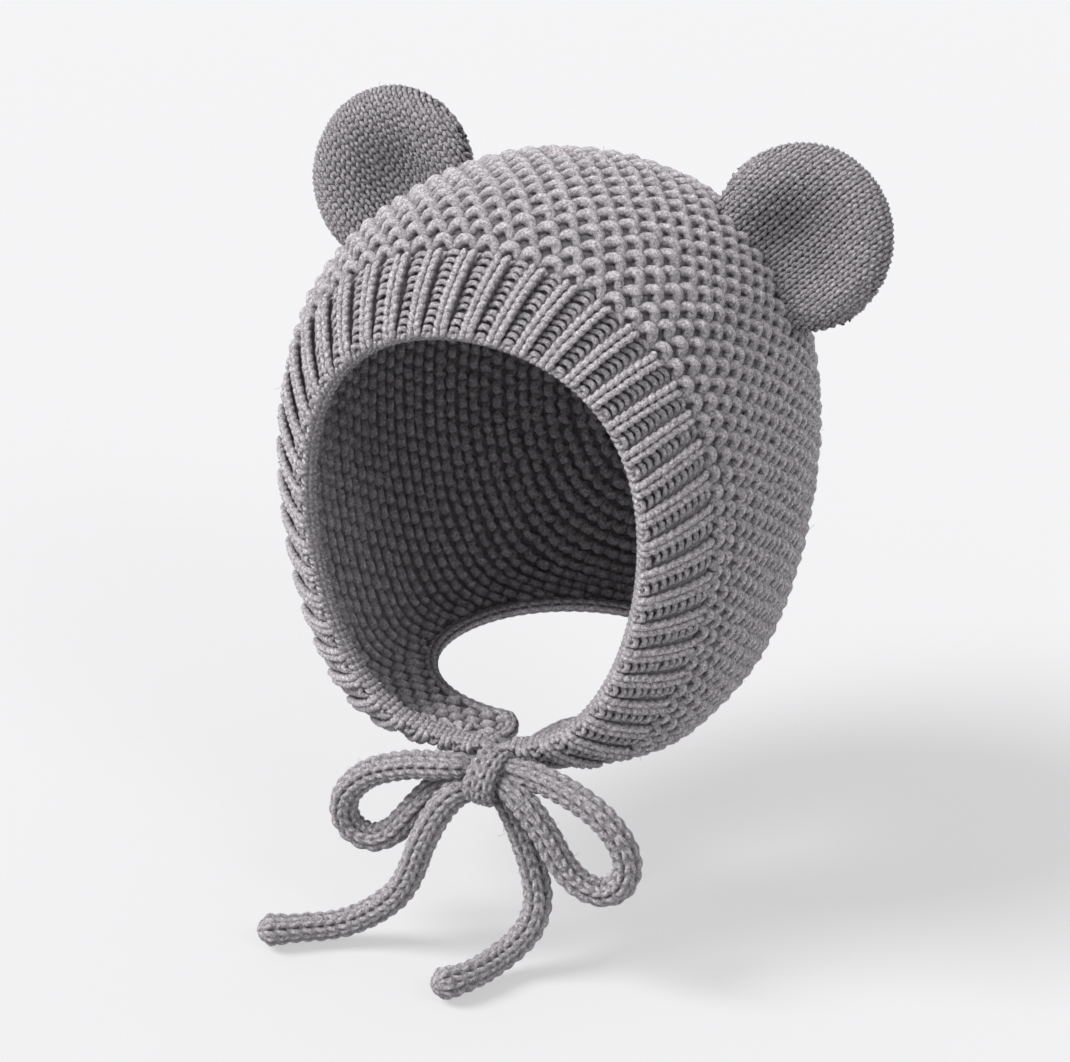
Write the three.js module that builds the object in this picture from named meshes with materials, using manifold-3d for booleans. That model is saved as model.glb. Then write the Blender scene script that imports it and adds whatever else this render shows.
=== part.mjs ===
// A knitted baby bonnet with two round ears, a ribbed band round the face, and
// knitted cord ties made into a bow under the chin.
// Millimetres, +Z up, the face looks along -Y. The origin is the top of the inside
// of the crown, where the bonnet sits on the head.
import * as THREE from 'three';
import { mergeVertices } from 'three/addons/utils/BufferGeometryUtils.js';
import Module from 'manifold-3d';

const wasm = await Module();
wasm.setup();

// Outside of the knitting, measured from the middle of the head.
const HEAD_HALF_WIDTH = 70;
const CROWN_RISE = 91;
const CHIN_DROP = 88;
const FRONT_DEPTH = 59;
const BACK_DEPTH = 86;
const UNDERSIDE_DROP = 56;
const UNDERSIDE_ROUND = 7;

// How full the form is from front to back: 2 is an ellipse, more is boxier.
const FRONT_FULLNESS = 3.6;
const BACK_FULLNESS = 2.2;
// Shares by which the crown is wider than the chin, and the temples than the cheeks.
const CROWN_WIDENING = 0.12;
const TEMPLE_WIDENING = 0.12;
const CROWN_BLEND = 3;

// Garter-like body: rows of knitting round the head, from the band to the back.
const BODY_WALL = 4;
const ROW_PITCH = 5;
const ROW_DEPTH = 1.2;
const BODY_STEPS = 40;
const LINING_STEPS = 8;

// Opening for the face, up, sideways and down from the middle of the head.
const FACE_RISE = 61;
const FACE_HALF_WIDTH = 47;
const FACE_DROP = 54;

// Ribbed band round that opening.
const BAND_WIDTH = 20;
const BAND_WALL = 5;
const RIB_PITCH = 8.5;
const RIB_DEPTH = 1.4;
const RIB_LEAN = 5;
const RIB_UPRIGHT_TURN = 57;
const RIB_LEAN_SPREAD = 12;
const FACE_EDGE_ROLL = 2.5;
const PIECE_GAP = 0.3;
const SEAM_GAP = 0.6;

// The band is wider over the forehead than under the chin: width as a share of
// BAND_WIDTH at each turn, in degrees from the top of the head.
const BAND_WIDTHS = [
  { turn: 0, share: 1.12 },
  { turn: 45, share: 1.02 },
  { turn: 90, share: 0.95 },
  { turn: 135, share: 0.8 },
  { turn: 180, share: 0.75 },
];

// The band's ends meet beside the middle of the chin, behind the knot.
const CHIN_MEET_X = 8;
const CHIN_GAP = 9;

// Neck opening in the underside.
const NECK_HALF_WIDTH = 38;
const NECK_HALF_DEPTH = 38;
const NECK_MIDDLE_Y = 13;

// Ears: puffed discs sewn to the crown, dished in front.
const EAR_RADIUS = 24;
const EAR_THICKNESS = 17;
const EAR_MIDDLE_X = 58.7;
const EAR_MIDDLE_Y = 25.5;
const EAR_MIDDLE_RISE = 72.5;
const EAR_SPLAY = 46;
const EAR_LEAN_BACK = 12;
const EAR_TOE_IN = 12;
const EAR_DISH_DEPTH = 5;
const EAR_DISH_RADIUS = 10;
const EAR_SIDES = 20;

// Ties: a knitted cord.
const CORD_DIAMETER = 7.2;
const CORD_SIDES = 8;
const CORD_STEP = 5;
const CORD_TIP_DIAMETER = 8;
const KNOT_WIDTH = 7;
const KNOT_DIAMETER = 13;
const KNOT_TILT = 8;
const KNOT_GRIP = 13;

const WOOL = { color: 0x8b8789, roughness: 0.95, metalness: 0 };
const radians = THREE.MathUtils.degToRad;
const HEAD_MIDDLE_Z = BODY_WALL - CROWN_RISE;

// Middle line of each stretch of tie, from the knot outward; a loop comes back to it.
const KNOT_MIDDLE = new THREE.Vector3(10.7, -58.5, -140);
const TAIL_LEFT = [
  [7.5, -61, -142.5], [3, -61.8, -145], [-0.5, -62.3, -149], [-3.2, -62.7, -153.5],
  [-5.3, -63, -158], [-7.2, -63.2, -162.5], [-8.8, -63.4, -167.5], [-10.8, -63.8, -172.5],
  [-13.6, -64.2, -177], [-17.5, -64.8, -181], [-22, -65.8, -184.4], [-26.8, -67.8, -186.8],
  [-31.5, -70.3, -187.8], [-35.8, -73.2, -187.8], [-39.5, -75.8, -187.8], [-42.9, -78, -187.8],
];
const TAIL_RIGHT = [
  [12.5, -57.5, -143.5], [15.2, -57, -147.5], [17.6, -56.8, -152], [19.7, -56.8, -157],
  [21.6, -57, -162], [23.2, -57.5, -167], [24.2, -58.2, -172], [24, -59.4, -176.5],
  [22.6, -61, -180.8], [20.2, -63.2, -184.2], [17.6, -66.2, -186.8], [15.8, -70.4, -187.8],
  [14.6, -75, -187.8], [12.8, -79, -187.8], [10.2, -82.8, -187.8],
];
const LOOP_LEFT = [
  [6.5, -59.2, -138.2], [0.8, -59.8, -138.6], [-5, -59.8, -139.6], [-11, -59.5, -141],
  [-17.2, -59.3, -143.2], [-23, -59.2, -146], [-27.5, -59.4, -149.8], [-30.8, -59.2, -154.8],
  [-31.4, -58.8, -160.2], [-28.6, -58.2, -164.6], [-23.6, -57.6, -165.8], [-18.4, -56.8, -163.2],
  [-14.4, -56.2, -158.6], [-10.6, -55.6, -153.6], [-6.6, -55, -149.1], [-1.6, -55, -145.7],
  [4.5, -56.6, -142.4],
];
const LOOP_RIGHT = [
  [15, -58, -137.6], [20.5, -58.2, -137.6], [26, -58.5, -138], [31.5, -59, -139.2],
  [36.6, -59.4, -141], [41.6, -59.6, -143.6], [45.8, -59.8, -147.2], [48.8, -59.6, -151.8],
  [49.8, -59.6, -157], [48.2, -60, -161.8], [44, -60.4, -164.8], [38.8, -61.2, -164],
  [34.6, -61.6, -161], [31.4, -62, -156.6], [28.6, -62.2, -151.6], [25.4, -62.4, -147],
  [21.6, -62.2, -143], [16.5, -61, -140.2],
];

const cosineBlend = (at0, at90, at180) => {
  const mean = (at0 + at180) / 4 + at90 / 2;
  const tilt = (at0 - at180) / 2;
  const swell = (at0 + at180) / 4 - at90 / 2;
  return (turn) => mean + tilt * Math.cos(turn) + swell * Math.cos(2 * turn);
};

// A point on the outside of the knitting: turn runs round the face from the top of
// the head towards +X, station runs from the middle of the face over to the back.
function headPoint(turn, station) {
  const up = Math.cos(turn);
  const along = Math.cos(station);
  const ring = Math.sqrt(1 - Math.abs(along) ** (along > 0 ? FRONT_FULLNESS : BACK_FULLNESS));
  const crown = 0.5 + 0.5 * Math.tanh(CROWN_BLEND * up);
  const height = CROWN_RISE * crown + CHIN_DROP * (1 - crown);
  const widening = 1 + CROWN_WIDENING * up + TEMPLE_WIDENING * (up * up - 0.5);
  const y = -along * (along > 0 ? FRONT_DEPTH : BACK_DEPTH);
  const above = height * up * ring + UNDERSIDE_DROP;
  const z = UNDERSIDE_ROUND * Math.log1p(Math.exp(above / UNDERSIDE_ROUND)) - UNDERSIDE_DROP;
  return new THREE.Vector3(HEAD_HALF_WIDTH * Math.sin(turn) * ring * widening, y, z + HEAD_MIDDLE_Z);
}

// The same point sunk below the outside by a depth.
function sunkPoint(turn, station, depth) {
  const step = 0.02;
  const middle = Math.min(station, Math.PI - 3 * step);
  const around = headPoint(turn + step, middle).sub(headPoint(turn - step, middle));
  const back = headPoint(turn, middle + step).sub(headPoint(turn, middle - step));
  const inward = back.cross(around).normalize();
  if (station > Math.PI - step) inward.set(0, -1, 0);
  return headPoint(turn, station).addScaledVector(inward, depth);
}

// Stations a distance apart along one meridian, found on a fine copy of it.
function meridian(turn, start) {
  const fine = 160;
  const stations = [start];
  const lengths = [0];
  let last = headPoint(turn, start);
  for (let i = 1; i <= fine; i += 1) {
    const station = start + ((Math.PI - start) * i) / fine;
    const next = headPoint(turn, station);
    stations.push(station);
    lengths.push(lengths[i - 1] + next.distanceTo(last));
    last = next;
  }
  return { length: lengths[fine], at: (distance) => lookUp(lengths, stations, distance) };
}

function lookUp(keys, values, key) {
  let i = 1;
  while (i < keys.length - 1 && keys[i] < key) i += 1;
  const share = THREE.MathUtils.clamp((key - keys[i - 1]) / (keys[i] - keys[i - 1]), 0, 1);
  return values[i - 1] + share * (values[i] - values[i - 1]);
}

// Where the front of the form is as wide as a share of its full width.
const frontStation = (share) => Math.acos((1 - share ** 2) ** (1 / FRONT_FULLNESS));

const faceStation = cosineBlend(
  frontStation(FACE_RISE / CROWN_RISE),
  frontStation(FACE_HALF_WIDTH / (HEAD_HALF_WIDTH * (1 - TEMPLE_WIDENING / 2))),
  frontStation(FACE_DROP / CHIN_DROP),
);

function bandWidth(turn) {
  const degrees = Math.abs(THREE.MathUtils.radToDeg(turn));
  const folded = degrees > 180 ? 360 - degrees : degrees;
  return BAND_WIDTH * lookUp(BAND_WIDTHS.map((row) => row.turn), BAND_WIDTHS.map((row) => row.share), folded);
}

// A closed body skinned over rings of points, with a point or a fan closing each end.
function skin(rings, firstPole, lastPole) {
  const middle = (ring) => ring.reduce((sum, p) => sum.add(p), new THREE.Vector3()).divideScalar(ring.length);
  const points = [firstPole ?? middle(rings[0]), ...rings.flat(), lastPole ?? middle(rings.at(-1))];
  const sides = rings[0].length;
  const faces = [];
  const id = (row, side) => 1 + row * sides + (side % sides);
  for (let side = 0; side < sides; side += 1) {
    faces.push([0, id(0, side + 1), id(0, side)]);
    for (let row = 0; row < rings.length - 1; row += 1) {
      faces.push([id(row, side), id(row, side + 1), id(row + 1, side)]);
      faces.push([id(row, side + 1), id(row + 1, side + 1), id(row + 1, side)]);
    }
    faces.push([id(rings.length - 1, side), id(rings.length - 1, side + 1), points.length - 1]);
  }
  let volume = 0;
  for (const [a, b, c] of faces) {
    volume += points[a].dot(points[b].clone().cross(points[c]));
  }
  if (volume < 0) faces.forEach((face) => face.reverse());
  const geometry = new THREE.BufferGeometry().setFromPoints(points);
  geometry.setIndex(faces.flat());
  return geometry;
}

function toSolid(geometry) {
  const bare = geometry.clone();
  bare.deleteAttribute('normal');
  bare.deleteAttribute('uv');
  const merged = mergeVertices(bare, 1e-4);
  return new wasm.Manifold(new wasm.Mesh({
    numProp: 3,
    vertProperties: new Float32Array(merged.getAttribute('position').array),
    triVerts: new Uint32Array(merged.getIndex().array),
  }));
}

function toGeometry(solid) {
  const { vertProperties, triVerts } = solid.getMesh();
  const geometry = new THREE.BufferGeometry();
  geometry.setAttribute('position', new THREE.BufferAttribute(new Float32Array(vertProperties), 3));
  geometry.setIndex(new THREE.BufferAttribute(new Uint32Array(triVerts), 1));
  return geometry;
}

// The body's shell, or with a growth the whole filled form that an ear seats on.
function bodyGeometry(growth = 0) {
  const turns = Array.from({ length: BODY_STEPS }, (_, i) => (2 * Math.PI * i) / BODY_STEPS);
  const lines = turns.map((turn) => meridian(turn, faceStation(turn)));
  const rows = Math.round((lines[BODY_STEPS / 4].length - bandWidth(Math.PI / 2)) / ROW_PITCH);
  const ring = (share, depth) => turns.map((turn, i) => {
    const first = bandWidth(turn) + SEAM_GAP;
    const distance = first + (lines[i].length - first) * share;
    return sunkPoint(turn, lines[i].at(distance), depth);
  });
  const outside = [];
  const halves = 2 * rows;
  for (let half = 0; half < halves; half += 1) {
    const crest = half % 2 === 1 || growth > 0;
    outside.push(ring(half / halves, crest ? -growth : ROW_DEPTH));
  }
  const back = headPoint(0, Math.PI);
  if (growth > 0) return skin(outside, undefined, back.add(new THREE.Vector3(0, growth, 0)));
  const lining = [];
  for (let step = 0; step < LINING_STEPS; step += 1) {
    lining.push(ring(step / LINING_STEPS, BODY_WALL));
  }
  const poleIn = back.clone().add(new THREE.Vector3(0, -BODY_WALL, 0));
  return skin([...lining.reverse(), ...outside], poleIn, back);
}

// What is cut away under the head: the neck's oval and the parting behind the knot.
function neckCutter() {
  const oval = new THREE.Shape();
  oval.absellipse(0, 0, NECK_HALF_WIDTH, NECK_HALF_DEPTH, 0, 2 * Math.PI);
  const depth = 2 * UNDERSIDE_ROUND + 2 * BODY_WALL;
  const hole = new THREE.ExtrudeGeometry(oval, { depth, bevelEnabled: false, curveSegments: 20 });
  const floor = HEAD_MIDDLE_Z - UNDERSIDE_DROP - depth / 2;
  hole.translate(0, NECK_MIDDLE_Y, floor);
  const parting = new THREE.BoxGeometry(CHIN_GAP, FRONT_DEPTH + NECK_MIDDLE_Y, depth);
  parting.translate(CHIN_MEET_X, (NECK_MIDDLE_Y - FRONT_DEPTH) / 2, floor + depth / 2);
  return toSolid(hole).add(toSolid(parting));
}

function makeBody() {
  return toGeometry(toSolid(bodyGeometry()).subtract(neckCutter()));
}

// Turns at which the band starts and ends under the chin.
const chinHalfWidth = HEAD_HALF_WIDTH * (FACE_DROP / CHIN_DROP)
  * (1 - CROWN_WIDENING + TEMPLE_WIDENING / 2);
const rightEnd = Math.PI - Math.asin((CHIN_MEET_X + CHIN_GAP / 2) / chinHalfWidth);
const leftEnd = -Math.PI - Math.asin((CHIN_MEET_X - CHIN_GAP / 2) / chinHalfWidth);

// The band: a closed section carried round the face from one chin end to the other.
function makeFaceBand() {
  const fine = 360;
  const turns = [];
  const lengths = [];
  let last = null;
  for (let i = 0; i <= fine; i += 1) {
    const turn = leftEnd + ((rightEnd - leftEnd) * i) / fine;
    const line = meridian(turn, faceStation(turn));
    const next = headPoint(turn, line.at(bandWidth(turn) / 2));
    turns.push(turn);
    lengths.push(i ? lengths[i - 1] + next.distanceTo(last) : 0);
    last = next;
  }
  const whole = lengths[fine];
  const ribs = Math.round(whole / RIB_PITCH);
  const roll = FACE_EDGE_ROLL;
  const section = (turn, rib) => {
    const width = bandWidth(turn);
    const valley = RIB_DEPTH * (1 - rib);
    return [
      { across: 0, depth: BAND_WALL / 2 },
      { across: 0.3 * roll, depth: 0.15 * BAND_WALL },
      { across: roll, depth: 0.2 * valley },
      { across: 2 * roll, depth: valley },
      { across: width - roll, depth: valley },
      { across: width, depth: RIB_DEPTH },
      { across: width, depth: BODY_WALL },
      { across: width / 2, depth: BAND_WALL },
      { across: roll, depth: BAND_WALL },
      { across: 0.3 * roll, depth: 0.85 * BAND_WALL },
    ];
  };
  const rings = [];
  const steps = 4 * ribs;
  for (let step = 0; step <= steps; step += 1) {
    const distance = (whole * step) / steps;
    const rib = [0, 1, 1, 0][step % 4];
    const here = lookUp(lengths, turns, distance);
    const fromUpright = THREE.MathUtils.radToDeg(here) - RIB_UPRIGHT_TURN;
    const ends = Math.min(1, distance / BAND_WIDTH, (whole - distance) / BAND_WIDTH);
    const lean = -RIB_LEAN * Math.tanh(fromUpright / RIB_LEAN_SPREAD) * ends;
    rings.push(section(here, rib).map(({ across, depth }) => {
      const slid = distance + lean * (across / bandWidth(here) - 0.5);
      const turn = lookUp(lengths, turns, THREE.MathUtils.clamp(slid, 0, whole));
      return sunkPoint(turn, meridian(turn, faceStation(turn)).at(across), depth);
    }));
  }
  return skin(rings);
}

// One ear, side 1 on +X and -1 on -X, with the head's form taken out of its foot.
function makeEar(side, seat) {
  const splay = radians(EAR_SPLAY);
  const lean = radians(EAR_LEAN_BACK);
  const outward = new THREE.Vector3(
    side * Math.sin(splay) * Math.cos(lean), Math.sin(lean), Math.cos(splay) * Math.cos(lean),
  );
  const toe = radians(EAR_TOE_IN);
  const front = new THREE.Vector3(-side * Math.sin(toe), -Math.cos(toe), 0);
  front.addScaledVector(outward, -front.dot(outward)).normalize();
  const across = new THREE.Vector3().crossVectors(outward, front);
  const middle = new THREE.Vector3(side * EAR_MIDDLE_X, EAR_MIDDLE_Y, EAR_MIDDLE_RISE + HEAD_MIDDLE_Z);
  const place = (angle, reach, face) => {
    const sideways = EAR_RADIUS * reach * Math.cos(angle);
    const upward = EAR_RADIUS * reach * Math.sin(angle);
    const dish = Math.exp(-(sideways ** 2 + upward ** 2) / (2 * EAR_DISH_RADIUS ** 2));
    const puff = (EAR_THICKNESS / 2) * Math.sqrt(1 - reach ** 2.6);
    const height = face > 0 ? puff - EAR_DISH_DEPTH * dish : -puff;
    return middle.clone().addScaledVector(across, sideways)
      .addScaledVector(outward, upward).addScaledVector(front, height);
  };
  const reaches = [0.3, 0.6, 0.85, 0.96];
  const ring = (reach, face) => Array.from({ length: EAR_SIDES }, (_, i) => (
    place((2 * Math.PI * i) / EAR_SIDES, reach, face)));
  const rings = [
    ...reaches.map((reach) => ring(reach, -1)), ring(1, 1),
    ...reaches.toReversed().map((reach) => ring(reach, 1)),
  ];
  const puffed = toSolid(skin(rings, place(0, 0, -1), place(0, 0, 1)));
  return toGeometry(puffed.subtract(seat));
}

// A stretch of a route, between two distances along it.
class Stretch extends THREE.Curve {
  constructor(route, from, to) {
    super();
    this.route = route;
    this.from = from / route.getLength();
    this.span = (to - from) / route.getLength();
  }

  getPoint(share, target = new THREE.Vector3()) {
    return this.route.getPointAt(this.from + share * this.span, target);
  }
}

// A tie's whole route starts in the middle of the knot, and a loop's ends there too.
const routeOf = (points, returns) => new THREE.CatmullRomCurve3(
  [KNOT_MIDDLE.toArray(), ...points, ...(returns ? [KNOT_MIDDLE.toArray()] : [])]
    .map((point) => new THREE.Vector3(...point)),
);

function cordGeometry(route, from, to) {
  const circle = new THREE.Shape();
  circle.absarc(0, 0, CORD_DIAMETER / 2, 0, 2 * Math.PI);
  return new THREE.ExtrudeGeometry(circle, {
    steps: Math.max(2, Math.round((to - from) / CORD_STEP)),
    bevelEnabled: false,
    curveSegments: CORD_SIDES / 2,
    extrudePath: new Stretch(route, from, to),
  });
}

// A tail leaves the grip of the knot and ends in a closed, slightly thicker tip.
function makeTail(points) {
  const route = routeOf(points, false);
  const tip = new THREE.SphereGeometry(CORD_TIP_DIAMETER / 2, CORD_SIDES, 6);
  const end = route.getPointAt(1);
  tip.translate(end.x, end.y, end.z + (CORD_TIP_DIAMETER - CORD_DIAMETER) / 2);
  const cord = cordGeometry(route, KNOT_GRIP + PIECE_GAP, route.getLength());
  return toGeometry(toSolid(cord).add(toSolid(tip)));
}

function makeLoop(points) {
  const route = routeOf(points, true);
  const grip = KNOT_GRIP + PIECE_GAP;
  return cordGeometry(route, grip, route.getLength() - grip);
}

// The ties' shared start: a tab between the band's two end faces, and a neck from it
// to the knot.
function makeChinRoot() {
  const middleTurn = (rightEnd + leftEnd) / 2 + Math.PI;
  const width = bandWidth(middleTurn);
  const inBand = (turn, across, depth) => (
    sunkPoint(turn, meridian(turn, faceStation(turn)).at(across), depth));
  const gapTurn = SEAM_GAP / FACE_DROP;
  const inset = BAND_WALL / 4;
  const tab = [rightEnd + gapTurn, middleTurn, leftEnd + 2 * Math.PI - gapTurn].map((turn) => [
    inBand(turn, FACE_EDGE_ROLL, inset), inBand(turn, width - FACE_EDGE_ROLL, inset),
    inBand(turn, width - FACE_EDGE_ROLL, BAND_WALL - inset), inBand(turn, FACE_EDGE_ROLL, BAND_WALL - inset),
  ]);
  const neck = new THREE.CatmullRomCurve3([
    inBand(middleTurn, width / 2, BAND_WALL / 2), inBand(middleTurn, 0, BAND_WALL / 2),
    KNOT_MIDDLE.clone().setX(CHIN_MEET_X),
  ]);
  return toSolid(skin(tab)).add(toSolid(cordGeometry(neck, 0, neck.getLength())));
}

// The knot's wrap, with the squeezed roots of the tails and loops fused to it.
function makeKnot() {
  const half = KNOT_WIDTH / 2;
  const radius = KNOT_DIAMETER / 2;
  const outline = [[0, -0.8], [0.5, -1], [0.85, -0.8], [1, 0], [0.85, 0.8], [0.5, 1], [0, 0.8]];
  const barrel = new THREE.LatheGeometry(
    outline.map(([out, along]) => new THREE.Vector2(out * radius, along * half)), CORD_SIDES + 2,
  );
  barrel.rotateZ(Math.PI / 2);
  barrel.rotateY(radians(KNOT_TILT));
  barrel.translate(...KNOT_MIDDLE);
  let knot = toSolid(barrel);
  for (const points of [TAIL_LEFT, TAIL_RIGHT]) {
    knot = knot.add(toSolid(cordGeometry(routeOf(points, false), 0, KNOT_GRIP)));
  }
  for (const points of [LOOP_LEFT, LOOP_RIGHT]) {
    const route = routeOf(points, true);
    const whole = route.getLength();
    knot = knot.add(toSolid(cordGeometry(route, 0, KNOT_GRIP)));
    knot = knot.add(toSolid(cordGeometry(route, whole - KNOT_GRIP, whole)));
  }
  return toGeometry(knot.add(makeChinRoot()));
}

const group = new THREE.Group();
function add(name, geometry) {
  const mesh = new THREE.Mesh(geometry, new THREE.MeshStandardMaterial(WOOL));
  mesh.name = name;
  group.add(mesh);
}

const earSeat = toSolid(bodyGeometry(PIECE_GAP));
add('body', makeBody());
add('face_band', makeFaceBand());
add('ear_left', makeEar(-1, earSeat));
add('ear_right', makeEar(1, earSeat));
add('bow_knot', makeKnot());
add('bow_loop_left', makeLoop(LOOP_LEFT));
add('bow_loop_right', makeLoop(LOOP_RIGHT));
add('tail_left', makeTail(TAIL_LEFT));
add('tail_right', makeTail(TAIL_RIGHT));

export default group;
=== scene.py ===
"""A knitted baby bonnet: round ears, a ribbed face band, and cord ties made into a bow.
Metres, +Z up, the face looks along -Y, the origin is the top of the inside of the crown."""
import math

import bpy
import numpy as np
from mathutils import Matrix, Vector
from mathutils.kdtree import KDTree


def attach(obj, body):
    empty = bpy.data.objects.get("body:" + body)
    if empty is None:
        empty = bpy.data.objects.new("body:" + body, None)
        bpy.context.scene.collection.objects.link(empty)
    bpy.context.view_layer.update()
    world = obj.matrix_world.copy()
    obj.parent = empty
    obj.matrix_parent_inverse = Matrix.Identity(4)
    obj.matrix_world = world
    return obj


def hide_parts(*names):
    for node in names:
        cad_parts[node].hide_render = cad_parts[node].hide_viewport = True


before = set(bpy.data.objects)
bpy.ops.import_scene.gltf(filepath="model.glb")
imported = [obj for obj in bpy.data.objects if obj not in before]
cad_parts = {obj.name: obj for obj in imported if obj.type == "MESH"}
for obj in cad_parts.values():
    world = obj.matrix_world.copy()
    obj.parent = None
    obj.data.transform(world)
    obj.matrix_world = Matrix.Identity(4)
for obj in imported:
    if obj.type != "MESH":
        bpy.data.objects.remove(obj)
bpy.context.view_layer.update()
MM = 0.001
scene = bpy.context.scene

# Camera
# A long lens, a little above the bonnet and to its right, as in the photograph.
CAMERA_AZIMUTH = math.radians(25.52)
CAMERA_ELEVATION = math.radians(23.48)
CAMERA_PLACE = (0.3849, -0.8155, 0.2948)
CAMERA_LENS = 125.27

camera_data = bpy.data.cameras.new("camera")
camera_data.sensor_width = 36
camera_data.lens = CAMERA_LENS
camera = bpy.data.objects.new("camera", camera_data)
scene.collection.objects.link(camera)
toward_camera = Vector((
    math.sin(CAMERA_AZIMUTH) * math.cos(CAMERA_ELEVATION),
    -math.cos(CAMERA_AZIMUTH) * math.cos(CAMERA_ELEVATION),
    math.sin(CAMERA_ELEVATION),
))
camera.location = CAMERA_PLACE
camera.rotation_mode = "QUATERNION"
camera.rotation_quaternion = (-toward_camera).to_track_quat("-Z", "Y")
scene.camera = camera

# Ties
# Two knitted cords, each a narrow tube of stocking stitch six columns round, closed at
# its tip. They come from the band's chin ends and are made into a bow: two loops that
# go back into the knot, and two tails that end on the surface below.
CORD_DIAMETER = 7.2
CORD_COLUMNS = 6
CORD_STITCH = 3.3
CORD_SIDES = 60
CORD_STEP = 0.42
CORD_RELIEF = 1.5
TIP_SWELL = 0.5
TIP_REACH = 4.0
KNOT_GRIP = 13
KNOT_SQUEEZE = 0.34
KNOT_SQUEEZE_REACH = 7
KNOT_SHADE = 0.6
KNOT_SHADE_REACH = 8
CORD_FIRST = 1.5
PIECE_GAP = 0.3
KNOT_MIDDLE = (10.7, -58.5, -140)
TAIL_LEFT = [
    (7.5, -61, -142.5), (3, -61.8, -145), (-0.5, -62.3, -149), (-3.2, -62.7, -153.5),
    (-5.3, -63, -158), (-7.2, -63.2, -162.5), (-8.8, -63.4, -167.5), (-10.8, -63.8, -172.5),
    (-13.6, -64.2, -177), (-17.5, -64.8, -181), (-22, -65.8, -184.4), (-26.8, -67.8, -186.8),
    (-31.5, -70.3, -187.8), (-35.8, -73.2, -187.8), (-39.5, -75.8, -187.8), (-42.9, -78, -187.8),
]
TAIL_RIGHT = [
    (12.5, -57.5, -143.5), (15.2, -57, -147.5), (17.6, -56.8, -152), (19.7, -56.8, -157),
    (21.6, -57, -162), (23.2, -57.5, -167), (24.2, -58.2, -172), (24, -59.4, -176.5),
    (22.6, -61, -180.8), (20.2, -63.2, -184.2), (17.6, -66.2, -186.8), (15.8, -70.4, -187.8),
    (14.6, -75, -187.8), (12.8, -79, -187.8), (10.2, -82.8, -187.8),
]
LOOP_LEFT = [
    (6.5, -59.2, -138.2), (0.8, -59.8, -138.6), (-5, -59.8, -139.6), (-11, -59.5, -141),
    (-17.2, -59.3, -143.2), (-23, -59.2, -146), (-27.5, -59.4, -149.8), (-30.8, -59.2, -154.8),
    (-31.4, -58.8, -160.2), (-28.6, -58.2, -164.6), (-23.6, -57.6, -165.8), (-18.4, -56.8, -163.2),
    (-14.4, -56.2, -158.6), (-10.6, -55.6, -153.6), (-6.6, -55, -149.1), (-1.6, -55, -145.7),
    (4.5, -56.6, -142.4),
]
LOOP_RIGHT = [
    (15, -58, -137.6), (20.5, -58.2, -137.6), (26, -58.5, -138), (31.5, -59, -139.2),
    (36.6, -59.4, -141), (41.6, -59.6, -143.6), (45.8, -59.8, -147.2), (48.8, -59.6, -151.8),
    (49.8, -59.6, -157), (48.2, -60, -161.8), (44, -60.4, -164.8), (38.8, -61.2, -164),
    (34.6, -61.6, -161), (31.4, -62, -156.6), (28.6, -62.2, -151.6), (25.4, -62.4, -147),
    (21.6, -62.2, -143), (16.5, -61, -140.2),
]


def unit(vectors):
    """The vectors at length one."""
    return vectors / np.linalg.norm(vectors, axis=-1, keepdims=True)


def smooth_route(points, step):
    """The centripetal curve through the points, resampled at even steps."""
    p = np.array(points, float)
    p = np.vstack([2 * p[0] - p[1], p, 2 * p[-1] - p[-2]])
    dense = []
    for i in range(1, len(p) - 2):
        k = np.cumsum([0, *np.linalg.norm(np.diff(p[i - 1:i + 3], axis=0), axis=1) ** 0.5])
        t = np.linspace(k[1], k[2], 24, endpoint=False)[:, None]
        a = [(k[j + 1] - t) / (k[j + 1] - k[j]) * p[i - 1 + j] + (t - k[j]) / (k[j + 1] - k[j]) * p[i + j]
             for j in range(3)]
        b = [(k[j + 2] - t) / (k[j + 2] - k[j]) * a[j] + (t - k[j]) / (k[j + 2] - k[j]) * a[j + 1]
             for j in range(2)]
        dense.append((k[2] - t) / (k[2] - k[1]) * b[0] + (t - k[1]) / (k[2] - k[1]) * b[1])
    dense = np.vstack([*dense, p[-2]])
    along = np.cumsum([0, *np.linalg.norm(np.diff(dense, axis=0), axis=1)])
    even = np.linspace(0, along[-1], max(2, round(along[-1] / step)) + 1)
    return np.stack([np.interp(even, along, dense[:, k]) for k in range(3)], 1), even


def carried_frames(line, first_normal):
    """Tangents, and normals carried along the line without twist."""
    tangents = unit(np.gradient(line, axis=0))
    normals = np.empty_like(line)
    normal = np.array(first_normal, float)
    for i, tangent in enumerate(tangents):
        normal = normal - tangent * normal.dot(tangent)
        normal /= np.linalg.norm(normal)
        normals[i] = normal
    return tangents, normals


def stocking_stitch(columns, rows, width, height):
    """Height of stocking stitch, 0 to 1, where each column is a stack of Vs."""
    across = (columns - np.floor(columns) - 0.5) * width
    upward = (rows - np.floor(rows)) * height
    thick = 0.25 * width
    found = np.zeros(np.broadcast(columns, rows).shape)
    for column in (-1, 0, 1):
        for row in (-1, 0, 1):
            for side in (-1, 1):
                foot = np.array([column * width + side * 0.05 * width, (row - 0.2) * height])
                leg = np.array([side * 0.3 * width, 1.15 * height])
                x, y = across - foot[0], upward - foot[1]
                share = np.clip((x * leg[0] + y * leg[1]) / leg.dot(leg), 0, 1)
                gap = np.hypot(x - share * leg[0], y - share * leg[1]) / thick
                dome = np.sqrt(np.clip(1 - gap ** 2, 0, 1))
                found = np.maximum(found, dome * (0.55 + 0.45 * np.sin(np.pi * np.clip(share, 0.02, 0.98))))
    return found


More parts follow.
